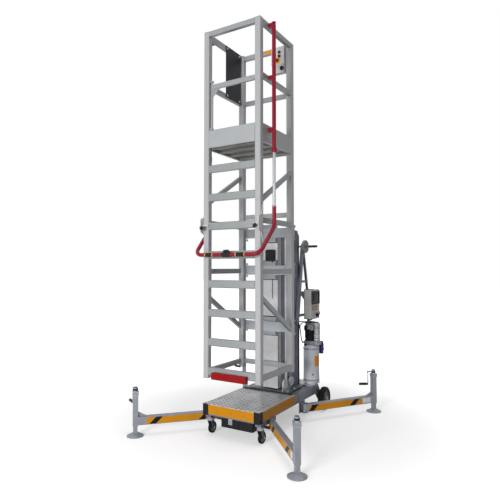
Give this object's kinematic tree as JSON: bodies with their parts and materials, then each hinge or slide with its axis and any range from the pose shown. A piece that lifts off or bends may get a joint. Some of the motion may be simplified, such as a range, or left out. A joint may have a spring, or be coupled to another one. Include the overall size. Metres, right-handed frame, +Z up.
{
  "type": "vertical mast lift",
  "caption": "Vertical mast lift: a tall ladder cage with a work basket on a telescopic mast, on a wheeled chassis with swing-out jacks.",
  "frame": {"origin": "on the floor at the centre of the four jack feet", "axes": "+X to the operator's right, +Y to the back where the mast and power unit stand, +Z up along the mast"},
  "size_m": [1.9612, 2.13, 3.952],
  "materials": {
    "bare_aluminium": "mill finish, faintly brushed",
    "galvanised": "galvanised, satin",
    "grey_extrusion": "anodised grey",
    "red_paint": "gloss red paint",
    "yellow_band": "yellow band",
    "chequer_plate": "raised tread pattern",
    "black_plastic": "matte black",
    "light_grey_box": "light grey plastic",
    "tank_paint": "pale grey paint",
    "rubber": "black rubber",
    "wheel_grey": "grey plastic"
  },
  "bodies": {
    "chassis": {"side_beams": "galvanised", "cross_beams": "galvanised", "deck_plates": "chequer_plate", "corner_guards": "black_plastic", "edge_bands": "yellow_band", "equipment_case": "black_plastic", "chassis_brackets": "galvanised", "fixed_pins": "galvanised", "mast_foot": "galvanised", "foot_sheaves": "wheel_grey", "mast_column": "grey_extrusion", "cable_duct": "black_plastic", "oil_tank": "tank_paint", "pump_unit": "black_plastic", "oil_filter": "tank_paint", "control_cabinet": "light_grey_box", "power_inlet": "tank_paint", "push_frame": "galvanised", "hydraulic_hoses": "rubber", "deck_cable": "rubber"},
    "mast_section_2": {"mast_section_2": "grey_extrusion"},
    "mast_section_3": {"mast_section_3": "grey_extrusion"},
    "cage": {"cage_posts": "bare_aluminium", "rungs": "bare_aluminium", "cage_rails": "bare_aluminium", "cage_braces": "bare_aluminium", "saddles": "bare_aluminium", "splices": "bare_aluminium", "bumper": "red_paint", "basket_floor": "bare_aluminium", "toe_boards": "bare_aluminium", "side_panel": "black_plastic", "sensor_box": "black_plastic", "console": "light_grey_box", "guard_sleeves": "red_paint", "gate_hinges": "bare_aluminium", "front_column": "bare_aluminium"},
    "gate": {"gate": "bare_aluminium"},
    "guard_bar": {"guard_bar": "red_paint", "guard_rods": "galvanised"},
    "castor_fork_left": {"castor_fork_left": "galvanised"},
    "castor_wheel_left": {"castor_wheel_left": "rubber"},
    "rear_wheel_left": {"rear_tyre_left": "rubber", "rear_hub_left": "wheel_grey"},
    "loading_wheel_left": {"loading_wheel_left": "wheel_grey"},
    "castor_fork_right": {"castor_fork_right": "galvanised"},
    "castor_wheel_right": {"castor_wheel_right": "rubber"},
    "rear_wheel_right": {"rear_tyre_right": "rubber", "rear_hub_right": "wheel_grey"},
    "loading_wheel_right": {"loading_wheel_right": "wheel_grey"},
    "outrigger_front_left": {"outrigger_front_left": "galvanised"},
    "jack_leg_front_left": {"jack_leg_front_left": "galvanised"},
    "outrigger_front_right": {"outrigger_front_right": "galvanised"},
    "jack_leg_front_right": {"jack_leg_front_right": "galvanised"},
    "outrigger_rear_left": {"outrigger_rear_left": "galvanised"},
    "jack_leg_rear_left": {"jack_leg_rear_left": "galvanised"},
    "outrigger_rear_right": {"outrigger_rear_right": "galvanised"},
    "jack_leg_rear_right": {"jack_leg_rear_right": "galvanised"}
  },
  "joints": [
    {"name": "mast_section_2_slide", "type": "slide", "parent": "chassis", "child": "mast_section_2", "axis": [0, 0, 1], "range_m": [0, 1.3]},
    {"name": "mast_section_3_slide", "type": "slide", "parent": "mast_section_2", "child": "mast_section_3", "axis": [0, 0, 1], "range_m": [0, 1.3]},
    {"name": "cage_slide", "type": "slide", "parent": "mast_section_3", "child": "cage", "axis": [0, 0, 1], "range_m": [0, 1.3]},
    {"name": "gate_hinge", "type": "hinge", "parent": "cage", "child": "gate", "pos_m": [-0.243, -0.595, 3.2], "axis": [0, 0, 1], "range_deg": [0, 90]},
    {"name": "guard_bar_slide", "type": "slide", "parent": "cage", "child": "guard_bar", "axis": [0, 0, 1], "range_m": [0, 0.48]},
    {"name": "castor_swivel_left", "type": "hinge", "parent": "chassis", "child": "castor_fork_left", "pos_m": [-0.28, -0.555, 0.15], "axis": [0, 0, 1], "continuous": true},
    {"name": "castor_spin_left", "type": "hinge", "parent": "castor_fork_left", "child": "castor_wheel_left", "pos_m": [-0.28, -0.525, 0.058], "axis": [1, 0, 0], "continuous": true},
    {"name": "rear_wheel_spin_left", "type": "hinge", "parent": "chassis", "child": "rear_wheel_left", "pos_m": [-0.36, 0.755, 0.13], "axis": [1, 0, 0], "continuous": true},
    {"name": "loading_wheel_spin_left", "type": "hinge", "parent": "chassis", "child": "loading_wheel_left", "pos_m": [-0.212, 0.578, 1.856], "axis": [1, 0, 0], "continuous": true},
    {"name": "castor_swivel_right", "type": "hinge", "parent": "chassis", "child": "castor_fork_right", "pos_m": [0.28, -0.555, 0.15], "axis": [0, 0, 1], "continuous": true},
    {"name": "castor_spin_right", "type": "hinge", "parent": "castor_fork_right", "child": "castor_wheel_right", "pos_m": [0.28, -0.525, 0.058], "axis": [1, 0, 0], "continuous": true},
    {"name": "rear_wheel_spin_right", "type": "hinge", "parent": "chassis", "child": "rear_wheel_right", "pos_m": [0.36, 0.755, 0.13], "axis": [1, 0, 0], "continuous": true},
    {"name": "loading_wheel_spin_right", "type": "hinge", "parent": "chassis", "child": "loading_wheel_right", "pos_m": [0.212, 0.578, 1.856], "axis": [1, 0, 0], "continuous": true},
    {"name": "outrigger_swing_front_left", "type": "hinge", "parent": "chassis", "child": "outrigger_front_left", "pos_m": [-0.3, -0.375, 0.145], "axis": [0, 0, -1], "range_deg": [0, 110]},
    {"name": "jack_slide_front_left", "type": "slide", "parent": "outrigger_front_left", "child": "jack_leg_front_left", "axis": [0, 0, 1], "range_m": [-0.15, 0.05]},
    {"name": "outrigger_swing_front_right", "type": "hinge", "parent": "chassis", "child": "outrigger_front_right", "pos_m": [0.3, -0.375, 0.145], "axis": [0, 0, 1], "range_deg": [0, 110]},
    {"name": "jack_slide_front_right", "type": "slide", "parent": "outrigger_front_right", "child": "jack_leg_front_right", "axis": [0, 0, 1], "range_m": [-0.15, 0.05]},
    {"name": "outrigger_swing_rear_left", "type": "hinge", "parent": "chassis", "child": "outrigger_rear_left", "pos_m": [-0.352, 0.255, 0.145], "axis": [0, 0, -1], "range_deg": [0, 22]},
    {"name": "jack_slide_rear_left", "type": "slide", "parent": "outrigger_rear_left", "child": "jack_leg_rear_left", "axis": [0, 0, 1], "range_m": [-0.15, 0.05]},
    {"name": "outrigger_swing_rear_right", "type": "hinge", "parent": "chassis", "child": "outrigger_rear_right", "pos_m": [0.352, 0.255, 0.145], "axis": [0, 0, 1], "range_deg": [0, 22]},
    {"name": "jack_slide_rear_right", "type": "slide", "parent": "outrigger_rear_right", "child": "jack_leg_rear_right", "axis": [0, 0, 1], "range_m": [-0.15, 0.05]}
  ],
  "couplings": [
    {"joint": "mast_section_3_slide", "follows": "mast_section_2_slide", "ratio": 1},
    {"joint": "cage_slide", "follows": "mast_section_2_slide", "ratio": 1}
  ]
}
